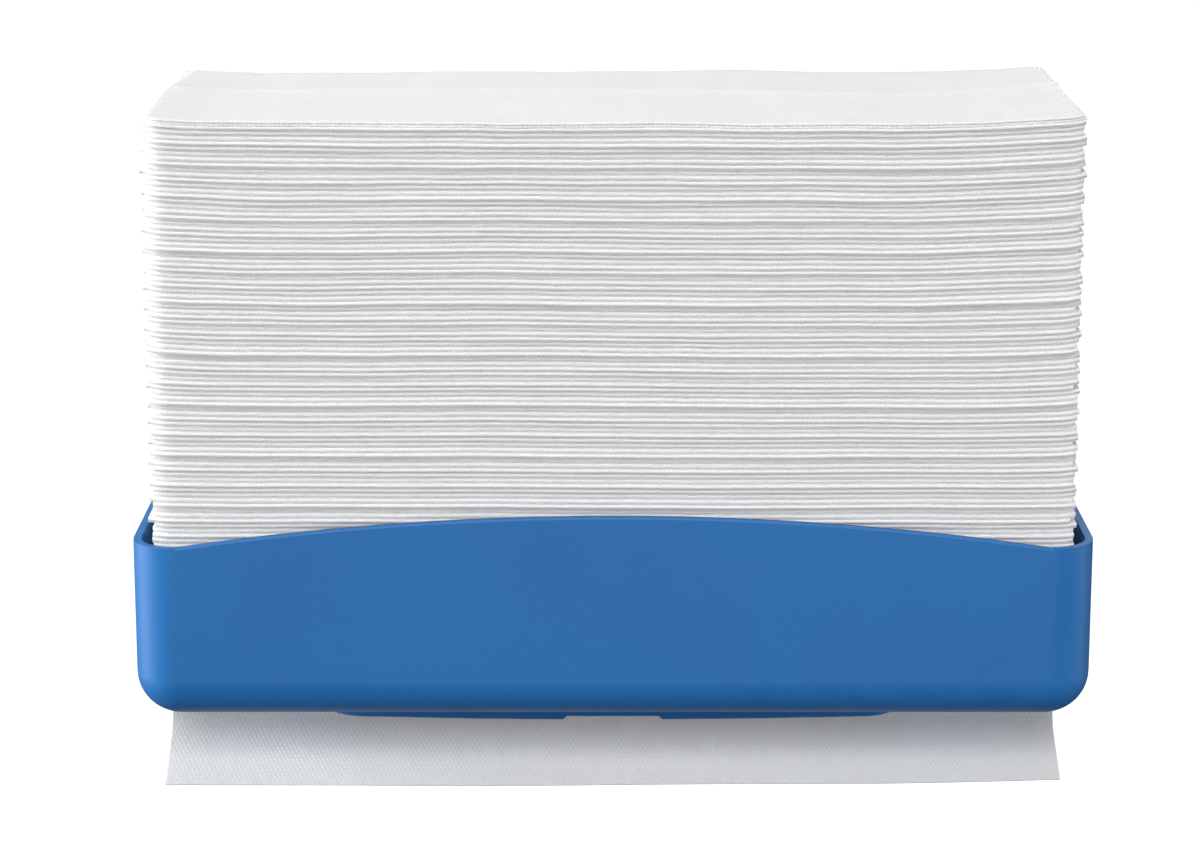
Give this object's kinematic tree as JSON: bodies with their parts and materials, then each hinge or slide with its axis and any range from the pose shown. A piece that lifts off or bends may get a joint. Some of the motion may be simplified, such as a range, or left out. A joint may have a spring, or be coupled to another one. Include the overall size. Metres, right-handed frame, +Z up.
{
  "type": "wall-mounted wipes holder",
  "caption": "Open moulded tray screwed to a wall, holding a tall stack of interfolded wipes that are drawn out through a slot with a finger window in its floor.",
  "frame": {"origin": "centre of the rectangle of four wall screws, on the tray's back face, which lies against the wall", "axes": "+X along the wall to the right of a person facing the holder, +Y into the wall, +Z up"},
  "size_m": [0.372, 0.197, 0.273],
  "materials": {
    "tray": "satin",
    "screws": "satin",
    "wipes": "matte"
  },
  "bodies": {
    "tray": {"tray_shell": "tray", "wall_screws": "screws"},
    "refill": {"lead_wipe_fold": "wipes", "top_wipe": "wipes", "wipes_group_01": "wipes", "wipes_group_02": "wipes", "wipes_group_03": "wipes", "wipes_group_04": "wipes", "wipes_group_05": "wipes", "wipes_group_06": "wipes", "wipes_group_07": "wipes", "wipes_group_08": "wipes", "wipes_group_09": "wipes", "wipes_group_10": "wipes", "wipes_group_11": "wipes", "wipes_group_12": "wipes", "wipes_group_13": "wipes", "wipes_group_14": "wipes", "wipes_group_15": "wipes", "wipes_group_16": "wipes", "wipes_group_17": "wipes", "wipes_group_18": "wipes", "wipes_group_19": "wipes", "wipes_group_20": "wipes", "wipes_group_21": "wipes", "wipes_group_22": "wipes", "wipes_group_23": "wipes", "wipes_group_24": "wipes", "wipes_group_25": "wipes", "wipes_group_26": "wipes", "wipes_group_27": "wipes", "wipes_group_28": "wipes", "wipes_group_29": "wipes", "wipes_group_30": "wipes", "wipes_group_31": "wipes", "wipes_group_32": "wipes", "wipes_group_33": "wipes", "wipes_group_34": "wipes", "wipes_group_35": "wipes", "wipes_group_36": "wipes"},
    "leading_wipe": {"lead_wipe_leaf": "wipes"}
  },
  "joints": [
    {"name": "refill_lift", "type": "slide", "parent": "tray", "child": "refill", "axis": [0, 0, 1], "range_m": [0, 0.1]},
    {"name": "wipe_draw", "type": "slide", "parent": "refill", "child": "leading_wipe", "axis": [0, 0, -1], "range_m": [0, 0.1]}
  ]
}
